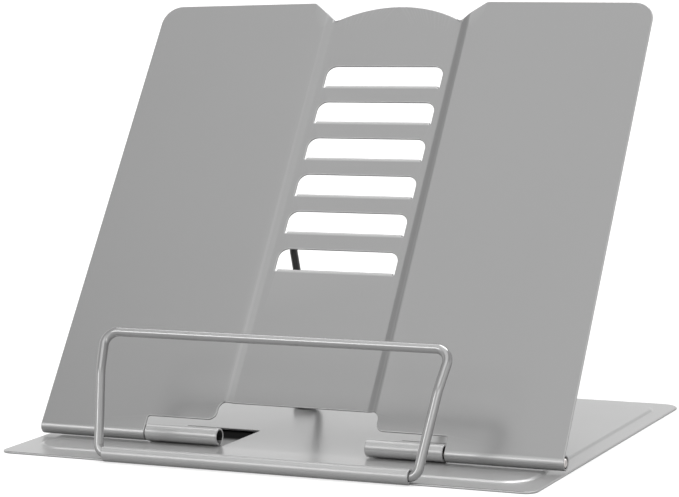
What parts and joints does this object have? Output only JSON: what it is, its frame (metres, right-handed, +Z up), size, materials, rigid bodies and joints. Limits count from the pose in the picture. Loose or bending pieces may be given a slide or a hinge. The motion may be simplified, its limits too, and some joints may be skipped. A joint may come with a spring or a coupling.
{
  "type": "book stand",
  "caption": "Folding sheet-metal book stand: a base plate, a tilting back plate with a slotted channel, a swinging wire page holder and a wire prop behind.",
  "frame": {"origin": "centre of the stand's footprint, on the surface it stands on", "axes": "+Z up, -Y towards the reader, X along the hinge; the left of the stand is -X"},
  "size_m": [0.21, 0.1744, 0.1619],
  "materials": {
    "base_paint": "silver-grey paint, satin",
    "plate_paint": "silver-grey paint, satin",
    "pin_steel": "bare bright steel",
    "holder_paint": "silver-grey paint, glossy",
    "prop_paint": "silver-grey paint, glossy"
  },
  "bodies": {
    "base": {"base_plate": "base_paint", "hinge_pin_left": "pin_steel", "hinge_pin_right": "pin_steel"},
    "plate": {"back_plate": "plate_paint"},
    "holder": {"page_holder": "holder_paint"},
    "prop": {"prop": "prop_paint"}
  },
  "joints": [
    {"name": "plate_fold", "type": "hinge", "parent": "base", "child": "plate", "pos_m": [0, -0.05183, 0.0045], "axis": [1, 0, 0], "range_deg": [-52, 6.4]},
    {"name": "prop_swing", "type": "hinge", "parent": "base", "child": "prop", "pos_m": [0, 0.02917, 0.0032], "axis": [1, 0, 0], "range_deg": [-109.72, 13.5]},
    {"name": "holder_swing", "type": "hinge", "parent": "base", "child": "holder", "pos_m": [0, -0.08432, 0.00285], "axis": [1, 0, 0], "range_deg": [-34, 108.4]}
  ],
  "couplings": [
    {"joint": "prop_swing", "follows": "plate_fold", "ratio": 2.11}
  ]
}
